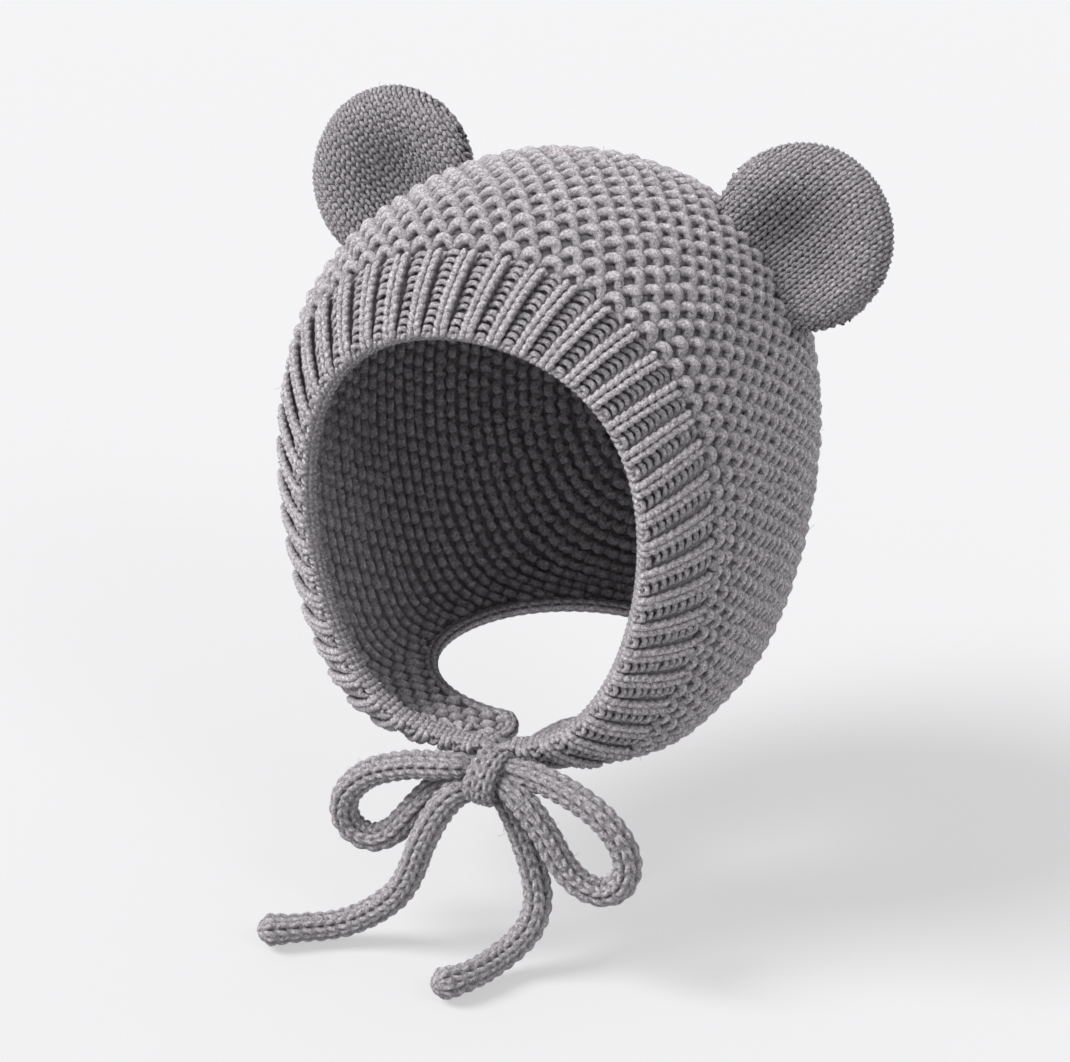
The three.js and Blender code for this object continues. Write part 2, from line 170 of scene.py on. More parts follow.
def make_mesh(name, points, faces, shade):
    """A smooth mesh from points in millimetres, faces, and each point's painted shade, 0 to 1, kept in its
    shade attribute.
    """
    mesh = bpy.data.meshes.new(name)
    points = np.asarray(points, float) * MM
    faces = np.asarray(faces)
    mesh.vertices.add(len(points))
    mesh.vertices.foreach_set("co", points.ravel())
    mesh.loops.add(faces.size)
    mesh.loops.foreach_set("vertex_index", faces.ravel().astype(np.int32))
    mesh.polygons.add(len(faces))
    mesh.polygons.foreach_set("loop_start", np.arange(0, faces.size, faces.shape[1], dtype=np.int32))
    mesh.polygons.foreach_set("use_smooth", np.ones(len(faces), bool))
    mesh.update(calc_edges=True)
    mesh.attributes.new("shade", "FLOAT", "POINT").data.foreach_set("value", np.asarray(shade, float))
    made = bpy.data.objects.new(name, mesh)
    scene.collection.objects.link(made)
    return made


def ring_faces(rings, sides, closed=False, first=0):
    """Triangles between rings of points, with a point before and after when open."""
    ring = np.arange(rings if closed else rings - 1)
    a, s = (grid.ravel() for grid in np.meshgrid(ring, np.arange(sides), indexing="ij"))
    b, t = (a + 1) % rings, (s + 1) % sides
    quads = np.stack([a * sides + s, b * sides + s, b * sides + t, a * sides + t], 1)
    tris = np.vstack([quads[:, [0, 1, 2]], quads[:, [0, 2, 3]]])
    if not closed:
        s = np.arange(sides)
        t = (s + 1) % sides
        last = (rings - 1) * sides
        ends = rings * sides
        tris = np.vstack([tris, np.stack([0 * s + ends, s, t], 1),
                          np.stack([0 * s + ends + 1, last + t, last + s], 1)])
    return tris + first


def cord_stretch(line, along, start, end, radius, sides=CORD_SIDES):
    """Points and faces of a knitted tube along a part of a line. radius is per point."""
    keep = (along >= start - 1e-6) & (along <= end + 1e-6)
    tangents, normals = carried_frames(line, (0, -1, 0.2))
    centres, tangents, normals = line[keep], tangents[keep], normals[keep]
    angle = np.linspace(0, 2 * np.pi, sides, endpoint=False)
    columns = CORD_COLUMNS * angle[None, :] / (2 * np.pi)
    rows = along[keep][:, None] / CORD_STITCH
    width = math.pi * CORD_DIAMETER / CORD_COLUMNS
    relief = stocking_stitch(columns, rows, width, CORD_STITCH)
    reach = radius[keep][:, None] * (1 + (relief - 0.75) * CORD_RELIEF / (CORD_DIAMETER / 2))
    sideways = np.cross(tangents, normals)
    around = np.cos(angle)[:, None] * normals[:, None] + np.sin(angle)[:, None] * sideways[:, None]
    points = centres[:, None] + reach[..., None] * around
    points = np.vstack([points.reshape(-1, 3), centres[0], centres[-1]])
    # Painted shade: the cord is lighter on its stitches' tops and darker between them, and darker still near
    # the knot's middle, where its creases are in shade.
    from_knot = np.linalg.norm(centres - np.array(KNOT_MIDDLE), axis=1)
    knot_crease_shade = 1 - KNOT_SHADE * np.exp(-(from_knot / KNOT_SHADE_REACH) ** 4)
    shade = np.append((relief * knot_crease_shade[:, None]).ravel(), [0.5, 0.5])
    return points, ring_faces(len(centres), sides), shade, centres


def tie_line(points, returns):
    """The whole line of a tail or loop, from the knot's middle, and distances along it."""
    whole = [KNOT_MIDDLE, *points, *([KNOT_MIDDLE] if returns else [])]
    line, along = smooth_route(whole, CORD_STEP)
    radius = np.full(len(line), CORD_DIAMETER / 2)
    if not returns:
        more = np.arange(1, round(TIP_REACH / CORD_STEP) + 1) * CORD_STEP
        onward = unit(line[-1] - line[-2])
        line = np.vstack([line, line[-1] + more[:, None] * onward])
        along = np.hstack([along, along[-1] + more])
        left = along[-1] - along
        swollen = CORD_DIAMETER / 2 + TIP_SWELL * np.exp(-((left - TIP_REACH) / 3) ** 2)
        radius = swollen * np.sqrt(np.clip(1 - (1 - np.clip(left / TIP_REACH, 0, 1)) ** 2, 0.004, 1))
    squeeze = np.minimum(along, along[-1] - along if returns else along)
    radius = radius * (1 - KNOT_SQUEEZE * np.exp(-(squeeze / KNOT_SQUEEZE_REACH) ** 2))
    return line, along, radius


def wool(name, light=(0.82, 0.777, 0.81), dark=(0.26, 0.238, 0.254), deepest=0.18):
    """Soft spun wool: mottled grey, matt, with a fine fibre bump and a pale sheen. Its colour is darkened by
    each point's painted shade, down to the share given as deepest.
    """
    material = bpy.data.materials.new(name)
    material.use_nodes = True
    nodes, links = material.node_tree.nodes, material.node_tree.links
    shader = nodes["Principled BSDF"]
    shader.inputs["Roughness"].default_value = 0.95
    shader.inputs["Specular IOR Level"].default_value = 0.15
    shader.inputs["Sheen Weight"].default_value = 0.35
    shader.inputs["Sheen Roughness"].default_value = 0.55
    shader.inputs["Sheen Tint"].default_value = (0.8, 0.78, 0.8, 1)
    place = nodes.new("ShaderNodeTexCoord")
    mottle = nodes.new("ShaderNodeTexNoise")
    mottle.inputs["Scale"].default_value = 1500
    mottle.inputs["Detail"].default_value = 6
    mottle.inputs["Roughness"].default_value = 0.75
    mottle.inputs["Distortion"].default_value = 0.8
    links.new(place.outputs["Object"], mottle.inputs["Vector"])
    colour = nodes.new("ShaderNodeValToRGB")
    colour.color_ramp.elements[0].position = 0.42
    colour.color_ramp.elements[0].color = (*dark, 1)
    colour.color_ramp.elements[1].position = 0.59
    colour.color_ramp.elements[1].color = (*light, 1)
    links.new(mottle.outputs["Fac"], colour.inputs["Fac"])
    # Painted shade: the shade attribute scales the colour, from deepest at 0 to full colour at 1.
    shade = nodes.new("ShaderNodeAttribute")
    shade.attribute_name = "shade"
    depth = nodes.new("ShaderNodeMapRange")
    depth.inputs["To Min"].default_value = deepest
    links.new(shade.outputs["Fac"], depth.inputs["Value"])
    painted_shade_colour = nodes.new("ShaderNodeVectorMath")
    painted_shade_colour.operation = "SCALE"
    links.new(colour.outputs["Color"], painted_shade_colour.inputs["Vector"])
    links.new(depth.outputs["Result"], painted_shade_colour.inputs["Scale"])
    links.new(painted_shade_colour.outputs["Vector"], shader.inputs["Base Color"])
    fibres = nodes.new("ShaderNodeTexNoise")
    fibres.inputs["Scale"].default_value = 1500
    fibres.inputs["Detail"].default_value = 4
    fibres.inputs["Roughness"].default_value = 0.75
    fibres.inputs["Distortion"].default_value = 1.2
    links.new(place.outputs["Object"], fibres.inputs["Vector"])
    bump = nodes.new("ShaderNodeBump")
    bump.inputs["Strength"].default_value = 1
    bump.inputs["Distance"].default_value = 0.0011
    links.new(fibres.outputs["Fac"], bump.inputs["Height"])
    links.new(bump.outputs["Normal"], shader.inputs["Normal"])
    return material


cord_wool = wool("cord_wool", light=(0.66, 0.627, 0.652), dark=(0.2, 0.183, 0.196), deepest=0.1)
knot_parts = []


def make_tie(name, points, returns):
    """One tie: its free stretch is a piece of its own, and its gripped ends go to the knot."""
    line, along, radius = tie_line(points, returns)
    cut = KNOT_GRIP + PIECE_GAP / 2
    whole = along[-1]
    free_end = whole - cut if returns else whole
    mesh_points, faces, shade, centres = cord_stretch(line, along, cut, free_end, radius)
    knot_parts.append(cord_stretch(line, along, CORD_FIRST, cut + CORD_STEP, radius)[:3])
    if returns:
        last = whole - CORD_FIRST
        knot_parts.append(cord_stretch(line, along, free_end - CORD_STEP, last, radius)[:3])
    tie = make_mesh(name + "_cord", mesh_points, faces, shade)
    tie.data.materials.append(cord_wool)
    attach(tie, "root")
    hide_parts(name)
    return tie


ties = [
    make_tie("tail_left", TAIL_LEFT, False),
    make_tie("tail_right", TAIL_RIGHT, False),
    make_tie("bow_loop_left", LOOP_LEFT, True),
    make_tie("bow_loop_right", LOOP_RIGHT, True),
]

# Knot
# The cord's own wrap, drawn tight round the squeezed starts of the loops and tails, and
# the short neck of cord behind it that comes out between the band's ends.
WRAP_WIDTH = 8.2
WRAP_RADIUS = 7.2
WRAP_DEPTH = 8.6
WRAP_COLUMNS = 8
WRAP_STEPS = 120
WRAP_SIDES = 72
WRAP_TUBE = 3.2
WRAP_SQUARENESS = 0.6
WRAP_TILT = math.radians(8)
KNOT_NECK = [(8, -46, -141.5), (8, -51, -140.8), (8.6, -58, -140)]
KNOT_NECK_RADIUS = 3.2


def join_parts(parts):
    """Several parts' points, faces and shades as those of one mesh."""
    points, faces, shades, first = [], [], [], 0
    for part_points, part_faces, part_shade in parts:
        points.append(part_points)
        faces.append(part_faces + first)
        shades.append(part_shade)
        first += len(part_points)
    return np.vstack(points), np.vstack(faces), np.hstack(shades)


def wrap_ring():
    """The wrap: a flattened knitted tube closed on itself in a tight ring."""
    turns = np.linspace(0, 2 * np.pi, WRAP_STEPS, endpoint=False)
    axis = np.array([math.cos(WRAP_TILT), 0, -math.sin(WRAP_TILT)])
    up = np.array([math.sin(WRAP_TILT), 0, math.cos(WRAP_TILT)])
    out = np.cos(turns)[:, None] * np.array([0, -WRAP_DEPTH / WRAP_RADIUS, 0]) + np.sin(turns)[:, None] * up
    angle = np.linspace(0, 2 * np.pi, 721)
    outward = np.sign(np.cos(angle)) * np.abs(np.cos(angle)) ** WRAP_SQUARENESS
    sideways = np.sign(np.sin(angle)) * np.abs(np.sin(angle)) ** WRAP_SQUARENESS
    length = np.hypot(np.diff(outward) * WRAP_TUBE, np.diff(sideways) * WRAP_WIDTH / 2)
    share = np.append(0, np.cumsum(length)) / length.sum()
    even = np.linspace(0, 1, WRAP_SIDES, endpoint=False)
    outward, sideways = np.interp(even, share, outward), np.interp(even, share, sideways)
    rows = np.linspace(0, round(2 * math.pi * WRAP_RADIUS / CORD_STITCH), WRAP_STEPS, endpoint=False)
    column_width = length.sum() / WRAP_COLUMNS
    relief = stocking_stitch(WRAP_COLUMNS * even[None] + 0.5, rows[:, None], column_width, CORD_STITCH)
    swell = 1 + 0.4 * (relief - 0.75)
    reach = WRAP_RADIUS - WRAP_TUBE + WRAP_TUBE * swell * outward[None]
    breadth = swell * sideways[None] * WRAP_WIDTH / 2
    points = np.array(KNOT_MIDDLE) + out[:, None] * reach[..., None] + axis * breadth[..., None]
    # Painted shade: the wrap is lighter on its stitches' tops and darkens toward its sides, in the creases
    # against the cords.
    shade = relief * (0.3 + 0.7 * np.clip(outward, 0, 1))[None]
    return points.reshape(-1, 3), ring_faces(WRAP_STEPS, WRAP_SIDES, closed=True), shade.ravel()


neck_line, neck_along = smooth_route(KNOT_NECK, CORD_STEP)
neck_radius = np.full(len(neck_line), KNOT_NECK_RADIUS)
knot_parts.append(cord_stretch(neck_line, neck_along, 0, neck_along[-1], neck_radius)[:3])
knot_parts.append(wrap_ring())
knot = make_mesh("bow_knot_wool", *join_parts(knot_parts))
knot.data.materials.append(cord_wool)
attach(knot, "root")
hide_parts("bow_knot")

# Head form
# The rounded shape that the knitting takes over a head: rows of it run round the face.
HEAD_HALF_WIDTH = 70
CROWN_RISE = 91
CHIN_DROP = 88
FRONT_DEPTH = 59
BACK_DEPTH = 86
UNDERSIDE_DROP = 56
UNDERSIDE_ROUND = 7
FRONT_FULLNESS = 3.6
BACK_FULLNESS = 2.2
CROWN_WIDENING = 0.12
TEMPLE_WIDENING = 0.12
CROWN_BLEND = 3
BODY_WALL = 4
FACE_RISE = 61
FACE_HALF_WIDTH = 47
FACE_DROP = 54
HEAD_MIDDLE_Z = BODY_WALL - CROWN_RISE


def widening(up):
    """How wide the form is against an oval: most at the crown, least halfway down and below."""
    return 1 + CROWN_WIDENING * up + TEMPLE_WIDENING * (up * up - 0.5)


def head_point(turn, station):
    """The outside of the knitting: turn goes round the face, station over to the back."""
    turn, station = np.broadcast_arrays(turn, station)
    up, along = np.cos(turn), np.cos(station)
    fullness = np.where(along > 0, FRONT_FULLNESS, BACK_FULLNESS)
    ring = np.sqrt(1 - np.abs(along) ** fullness)
    crown = 0.5 + 0.5 * np.tanh(CROWN_BLEND * up)
    height = CROWN_RISE * crown + CHIN_DROP * (1 - crown)
    above = height * up * ring + UNDERSIDE_DROP
    z = UNDERSIDE_ROUND * np.log1p(np.exp(above / UNDERSIDE_ROUND)) - UNDERSIDE_DROP
    x = HEAD_HALF_WIDTH * np.sin(turn) * ring * widening(up)
    y = -along * np.where(along > 0, FRONT_DEPTH, BACK_DEPTH)
    return np.stack([x, y, z + HEAD_MIDDLE_Z], -1)


def head_frame(turn, station):
    """Point, outward normal, and the direction away from the face, on the head form."""
    step = 0.01
    middle = np.clip(station, step, math.pi - 2 * step)
    around = head_point(turn + step, middle) - head_point(turn - step, middle)
    back = head_point(turn, middle + step) - head_point(turn, middle - step)
    normal = unit(np.cross(around, back))
    return head_point(turn, station), normal, unit(back)


def front_station(share):
    """The station in front where the ring has shrunk to a share of its full size."""
    return math.acos((1 - share ** 2) ** (1 / FRONT_FULLNESS))


def face_station(turn):
    """Where the face opening's edge lies."""
    top = front_station(FACE_RISE / CROWN_RISE)
    side = front_station(FACE_HALF_WIDTH / (HEAD_HALF_WIDTH * widening(0)))
    chin = front_station(FACE_DROP / CHIN_DROP)
    mean = (top + chin) / 4 + side / 2
    return mean + (top - chin) / 2 * np.cos(turn) + ((top + chin) / 4 - side / 2) * np.cos(2 * turn)


# Distances along the surface from the face's edge, from which a station is looked up.
TABLE_TURNS = np.linspace(-2 * np.pi, 2 * np.pi, 721)
fine_shares = np.linspace(0, 1, 241)
table_first = face_station(TABLE_TURNS)[:, None]
TABLE_STATIONS = table_first + (np.pi - 0.001 - table_first) * fine_shares[None]
table_points = head_point(TABLE_TURNS[:, None], TABLE_STATIONS)
table_steps = np.linalg.norm(np.diff(table_points, axis=1), axis=2)
TABLE_LENGTHS = np.hstack([np.zeros((len(TABLE_TURNS), 1)), np.cumsum(table_steps, 1)])


def station_at(turn, distance):
    """The station that lies a distance back from the face's edge, along the surface."""
    turn, distance = np.broadcast_arrays(np.asarray(turn, float), np.asarray(distance, float))
    place = (turn - TABLE_TURNS[0]) / (TABLE_TURNS[1] - TABLE_TURNS[0])
    low = np.clip(np.floor(place).astype(int), 0, len(TABLE_TURNS) - 2)
    part = place - low
    found = np.empty(turn.shape)
    flat_low, flat_part = low.ravel(), part.ravel()
    flat_distance, flat_found = distance.ravel(), found.ravel()
    for row in np.unique(flat_low):
        mask = flat_low == row
        a = np.interp(flat_distance[mask], TABLE_LENGTHS[row], TABLE_STATIONS[row])
        b = np.interp(flat_distance[mask], TABLE_LENGTHS[row + 1], TABLE_STATIONS[row + 1])
        flat_found[mask] = a + (b - a) * flat_part[mask]
    return flat_found.reshape(turn.shape)


def whole_length(turn):
    """How far it is from the face's edge to the middle of the back."""
    return np.interp(turn, TABLE_TURNS, TABLE_LENGTHS[:, -1])


# Face band
# Two-and-two rib knitted round the face: columns of Vs stand up between sunk ladders of
# short bars. Its ends come together at the chin, and its free edge rolls a little.
BAND_WIDTH = 20
BAND_WALL = 5
RIB_PITCH = 8.5
RIB_LEAN = 5
RIB_UPRIGHT_TURN = 57
RIB_LEAN_SPREAD = 12
BAND_STITCH = 2.05
BAND_WIDTHS = [(0, 1.12), (45, 1.02), (90, 0.95), (135, 0.8), (180, 0.75)]
CHIN_MEET_X = 8
CHIN_GAP = 9
RIB_LEG_RADIUS = 0.98
RIB_SPREAD = 1.05
BAR_RADIUS = 0.8
BAR_LENGTH = 5.2
BAR_DEPTH = 2.5
EDGE_ROLL = 1.3
EDGE_ROLL_WIDTH = 2.2
VALLEY_DEPTH = 2.6

chin_half_width = HEAD_HALF_WIDTH * (FACE_DROP / CHIN_DROP) * widening(-1)
band_last = math.pi - math.asin((CHIN_MEET_X + CHIN_GAP / 2) / chin_half_width)
band_first = -math.pi - math.asin((CHIN_MEET_X - CHIN_GAP / 2) / chin_half_width)


def band_width(turn):
    """The band is broad over the forehead and narrow under the chin."""
    folded = np.abs(np.degrees(turn))
    folded = np.where(folded > 180, 360 - folded, folded)
    return BAND_WIDTH * np.interp(folded, *zip(*BAND_WIDTHS))


band_turns = np.linspace(band_first, band_last, 1441)
band_middle = head_point(band_turns, station_at(band_turns, band_width(band_turns) / 2))
band_lengths = np.cumsum([0, *np.linalg.norm(np.diff(band_middle, axis=0), axis=1)])
BAND_LENGTH = band_lengths[-1]
RIBS = round(BAND_LENGTH / RIB_PITCH)


def band_place(distance, share):
    """Turn and distance back from the face's edge, for a place along the leaning ribs."""
    here = np.interp(distance, band_lengths, band_turns)
    ends = np.clip(np.minimum(distance, BAND_LENGTH - distance) / BAND_WIDTH, 0, 1)
    lean = -RIB_LEAN * np.tanh((np.degrees(here) - RIB_UPRIGHT_TURN) / RIB_LEAN_SPREAD) * ends
    slid = np.clip(distance + lean * (share - 0.5), 0, BAND_LENGTH)
    turn = np.interp(slid, band_lengths, band_turns)
    return turn, band_width(here) * share


def band_point(distance, share, depth):
    """A point in the band, sunk by a depth from its outside."""
    turn, back = band_place(distance, share)
    place, normal, _ = head_frame(turn, station_at(turn, back))
    return place - normal * np.asarray(depth)[..., None]


def yarn_ring(tangents, normals, sides):
    """Unit rings round a line, and the painted shade of each of their points: lightest on the outside,
    darkest underneath.
    """
    sideways = unit(np.cross(tangents, normals))
    upward = np.cross(sideways, tangents)
    angle = np.linspace(0, 2 * np.pi, sides, endpoint=False)
    ring = np.cos(angle)[:, None] * upward[..., None, :] + np.sin(angle)[:, None] * sideways[..., None, :]
    return ring, 0.55 + 0.45 * np.cos(angle)


def tubes(lines, normals, radius, sides, light=1.0):
    """Closed tubes along lines (count, points, 3); radius and light, the painted shade along each line, are
    (count, points).
    """
    count, steps = lines.shape[:2]
    ring, ring_painted_shade = yarn_ring(unit(np.gradient(lines, axis=1)), normals, sides)
    points = lines[:, :, None] + radius[:, :, None, None] * ring
    points = np.concatenate([points.reshape(count, -1, 3), lines[:, :1], lines[:, -1:]], 1)
    faces = ring_faces(steps, sides)[None] + (np.arange(count) * points.shape[1])[:, None, None]
    light = np.broadcast_to(light, (count, steps))
    shade = light[:, :, None] * ring_painted_shade
    shade = np.concatenate([shade.reshape(count, -1), light[:, :1] * 0.5, light[:, -1:] * 0.5], 1)
    return points.reshape(-1, 3), faces.reshape(-1, 3), shade.ravel()


def capsule(shares):
    """How thick a short yarn is along its length, round at both ends."""
    return np.sqrt(np.clip(1 - (2 * shares - 1) ** 4, 0.05, 1))


rng = np.random.default_rng(4)


def chin_share(distance):
    """0 over the forehead, 1 near the chin, where the valleys fill up."""
    return np.clip((np.abs(np.interp(distance, band_lengths, band_turns)) - 1.3) / 0.7, 0, 1)


def band_stitches(outside):
    """Legs of the V columns and bars of the ladders, on the outside or the inside."""
    shares = np.linspace(0, 1, 6 if outside else 5)
    yarns, yarn_radius = [], []
    for rib in range(RIBS):
        stand = (rib + 0.5) * BAND_LENGTH / RIBS
        turn_here = np.interp(stand, band_lengths, band_turns)
        width = float(band_width(turn_here))
        stitches = max(4, round(width / BAND_STITCH))
        half = 0.5 * BAND_LENGTH / RIBS
        knit_at = stand if outside else stand + half
        bar_at = stand + half if outside else stand
        for stitch in range(stitches):
            low = stitch / stitches
            for side in (-1, 1):
                along = knit_at + side * (0.5 + RIB_SPREAD * shares) + rng.normal(0, 0.06)
                across = low + (shares * 1.5 - 0.3) / stitches
                bulge = np.sin(np.pi * shares)
                # Painted shade: each leg is lightest where it bulges out and darker at its ends.
                yarns.append((along, across, 0.75 - 0.85 * bulge, 0.55 + 0.45 * bulge))
                yarn_radius.append(RIB_LEG_RADIUS * capsule(shares) * rng.uniform(0.93, 1.07))
            along = bar_at + (shares - 0.5) * BAR_LENGTH
            tip = 0.2 * np.cos(2 * np.pi * shares) - 0.35 * np.sin(np.pi * shares)
            across = low + (0.5 - tip) / stitches + rng.normal(0, 0.008)
            rise = 1.1 + 1.1 * math.exp(-(low * width / 3.5) ** 2) + 0.5 * float(chin_share(bar_at))
            sunk = BAR_DEPTH - rise * np.sin(np.pi * shares) + rng.normal(0, 0.12)
            # Painted shade: the sunk bars are darker than the legs, lightest at their middles.
            yarns.append((along, across, sunk, 0.3 + 0.55 * np.sin(np.pi * shares)))
            yarn_radius.append(BAR_RADIUS * capsule(shares) * rng.uniform(0.9, 1.1))
    along, across, depth, light = (np.array([yarn[k] for yarn in yarns]) for k in range(4))
    keep = (along.min(1) > 0.2) & (along.max(1) < BAND_LENGTH - 0.2)
    along, across, depth, light = along[keep], np.clip(across[keep], 0.02, 1.0), depth[keep], light[keep]
    edge = np.clip(1 - across * BAND_WIDTH / EDGE_ROLL_WIDTH, 0, 1)
    depth = depth + EDGE_ROLL * edge ** 2
    if not outside:
        depth = BAND_WALL - depth
    lines = band_point(along, across, depth)
    turn, back = band_place(along, across)
    normal = head_frame(turn, station_at(turn, back))[1]
    facing, sides = (normal, 6) if outside else (-normal, 5)
    return tubes(lines, facing, np.array(yarn_radius)[keep], sides, light)


def band_core():
    """The closed body of the band under its stitches."""
    steps = 4 * RIBS
    distance = np.linspace(0.8, BAND_LENGTH - 0.8, steps + 1)
    rib = np.array([0, 1, 1, 0])[np.arange(steps + 1) % 4]
    section = [
        (0.02, 2.5), (0.04, 1.6), (0.1, 1.3), (0.3, 1.3), (0.7, 1.3), (0.98, 1.3),
        (0.98, 3.8), (0.7, 4.0), (0.3, 4.0), (0.1, 4.0), (0.04, 3.5),
    ]
    rings = []
    for share, depth in section:
        chin = chin_share(distance)
        sunk = depth + (1 - rib) * (VALLEY_DEPTH - 1.3) * (0 < depth - 0.5 < 1.2) * (1 - 0.7 * chin)
        rings.append(band_point(distance, np.full(steps + 1, share), sunk))
    points = np.stack(rings, 1)
    middle = points.mean(1)
    points = np.vstack([points.reshape(-1, 3), middle[0], middle[-1]])
    return points, ring_faces(steps + 1, len(section)), np.ones(len(points))


def edge_cord(share, depth, thick, sides, wobble, count):
    """A row of bind-off loops along an edge of the band."""
    along = np.linspace(0.4, BAND_LENGTH - 0.4, count * 5)
    phase = 2 * np.pi * count * along / BAND_LENGTH
    lean = share + wobble * np.cos(phase) / BAND_WIDTH
    place = band_point(along, lean, depth + 0.25 * np.sin(phase))
    turn, back = band_place(along, lean)
    normal = head_frame(turn, station_at(turn, back))[1]
    radius = thick * (1 + 0.12 * np.sin(phase))
    return tubes(place[None], normal[None], radius[None], sides)


band_wool = wool("band_wool")
# The band's core is the same yarn, coloured darker: painted shade, as it is only seen deep between the
# stitches.
core_painted_shade = wool("core_painted_shade", light=(0.4, 0.375, 0.393), dark=(0.18, 0.165, 0.176))
band = make_mesh("face_band_knit", *join_parts([
    band_stitches(True), band_stitches(False),
    edge_cord(0.03, 1.5, 0.95, 6, 0.5, 175), edge_cord(0.015, 2.7, 1.0, 6, 0.5, 175),
    edge_cord(0.03, 3.9, 0.95, 6, 0.5, 175), edge_cord(0.985, 2.9, 1.1, 5, 0.4, 120),
]))
band.data.materials.append(band_wool)
band_inside = make_mesh("face_band_core", *band_core())
band_inside.data.materials.append(core_painted_shade)
for piece in (band, band_inside):
    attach(piece, "root")
    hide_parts("face_band")

# Chin join
# The short strip that joins the band's ends behind the knot: five rows of the same yarn,
# knitted on from both ends.
JOIN_SHARES = [0.12, 0.31, 0.5, 0.69, 0.88]
JOIN_YARN_RADIUS = 1.5
JOIN_OVERLAP = 0.08

join_turns = np.linspace(band_last - JOIN_OVERLAP, 2 * math.pi + band_first + JOIN_OVERLAP, 25)
join_backs = band_width(join_turns)[None] * np.array(JOIN_SHARES)[:, None]
join_grid = np.broadcast_to(join_turns, join_backs.shape)
join_place, join_normal, join_back = head_frame(join_grid, station_at(join_grid, join_backs))
join_phase = np.linspace(0, 4 * math.pi, 25)[None, :, None] + np.arange(5)[:, None, None] * math.pi
join_wave = np.cos(join_phase)
join_lines = join_place - join_normal * (2.4 - 0.4 * join_wave) + join_back * 0.5 * join_wave
join_radius = np.full(join_lines.shape[:2], JOIN_YARN_RADIUS)
join = make_mesh("chin_join", *tubes(join_lines, join_normal, join_radius, 10))
join.data.materials.append(band_wool)
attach(join, "root")
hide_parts("bow_knot")

# Body
# Rows of thick wavy stitches round the head, each row's crests over the last row's
# hollows, from the band to the back of the head, with the same rows inside.
ROW_PITCH = 4.35
WAVE_LENGTH = 4.4
CROWN_STRETCH = 0.42
WAVE_SWING = 1.05
WAVE_LIFT = 0.68
YARN_RADIUS = 1.5
YARN_ROUGHNESS = 0.09
FLANK_TOP = 0.625
FLANK_CALM = 0.6
FLANK_THINNING = 0.22
SWING_UNEVENNESS = 0.14
ROW_UNEVENNESS = 0.24
WAVE_UNEVENNESS = 0.3
ARC_FLATNESS = 0.28
WAVE_STEPS = 8
YARN_SIDES = 7
SEAM_GAP = 0.4
NECK_HALF_WIDTH = 38
NECK_HALF_DEPTH = 38
NECK_MIDDLE_Y = 13
NECK_EDGE_MARGIN = 1.5
CORE_DEPTH = 1.9
CORE_WALL = 0.7
CORE_SIDES = 100
CORE_RINGS = 44
CUTTER_HEIGHT = 30
CUTTER_MARGIN = 1


def open_below(points, margin):
    """True inside the neck opening, and in the parting behind the knot."""
    x, y, z = points[..., 0], points[..., 1], points[..., 2]
    under = z < HEAD_MIDDLE_Z - UNDERSIDE_DROP + 15
    neck = np.hypot(x / (NECK_HALF_WIDTH + margin), (y - NECK_MIDDLE_Y) / (NECK_HALF_DEPTH + margin)) < 1
    parting = (np.abs(x - CHIN_MEET_X) < CHIN_GAP / 2 + margin) & (y < NECK_MIDDLE_Y)
    return under & (neck | parting)


ring_turns = np.linspace(-np.pi, np.pi, 721)
ROWS = round(float(np.mean((whole_length(ring_turns) - band_width(ring_turns))[120:601])) / ROW_PITCH)


def row_station(turn, share):
    """The station at a share of the way from the band to the middle of the back."""
    first = band_width(turn) + SEAM_GAP
    return station_at(turn, first + (whole_length(turn) - first) * share)


def soft_noise(count, knots):
    """Closed noise of about unit size along a line, straight from knot to knot."""
    values = rng.normal(0, 1, knots)
    places = np.linspace(0, knots, count, endpoint=False)
    return np.interp(places, np.arange(knots + 1), np.append(values, values[0]))


def wave_counts(share):
    """How many waves a row has made by each turn: wider ones go over the crown."""
    ring = head_point(ring_turns, row_station(ring_turns, np.full(721, share)))
    length = WAVE_LENGTH * (1 + CROWN_STRETCH * np.clip(np.cos(ring_turns), 0, 1) ** 2)
    steps = np.linalg.norm(np.diff(ring, axis=0), axis=1) / ((length[1:] + length[:-1]) / 2)
    return np.cumsum([0, *steps])


